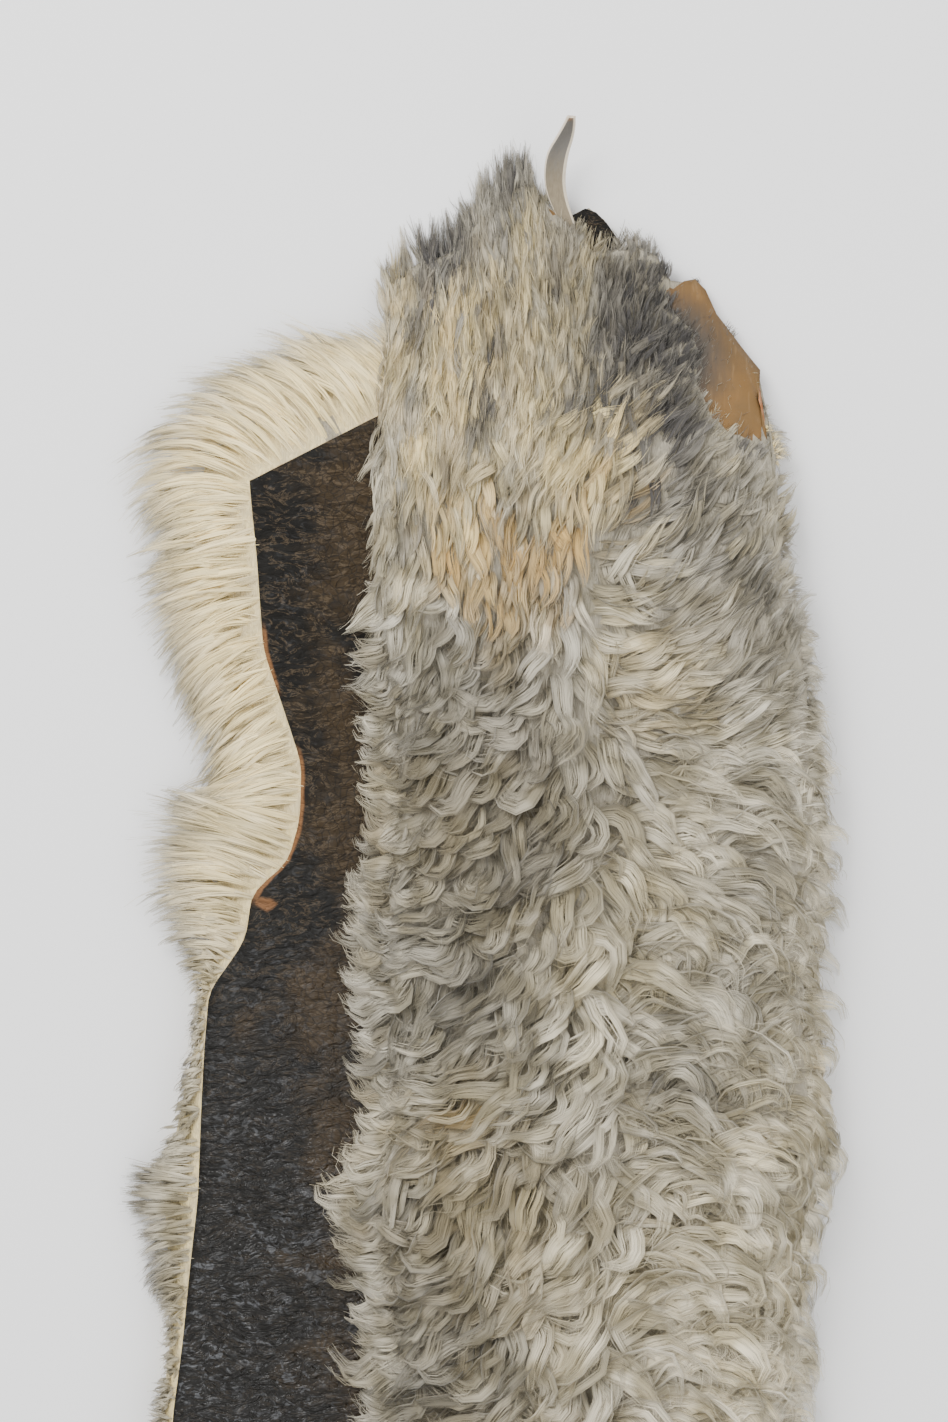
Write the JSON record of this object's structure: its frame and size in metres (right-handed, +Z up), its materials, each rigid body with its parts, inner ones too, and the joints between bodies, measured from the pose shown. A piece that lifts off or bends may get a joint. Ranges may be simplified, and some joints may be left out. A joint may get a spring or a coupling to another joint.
{
  "type": "folded sheepskin",
  "caption": "Long-haired curly grey sheepskin folded once along its length with the wool outside, lying flat with its dark leather side showing past the upper layer.",
  "frame": {"origin": "on the surface the skin lies on, under the middle of its footprint", "axes": "+X across the skin from its open side to the fold, +Y along it from the tail to the neck, +Z up"},
  "size_m": [0.4602, 1.1479, 0.0812],
  "materials": {
    "wool": "matte curly wool",
    "leather": "crackled, half gloss"
  },
  "bodies": {
    "root": {"sheepskin": "wool"}
  },
  "joints": []
}
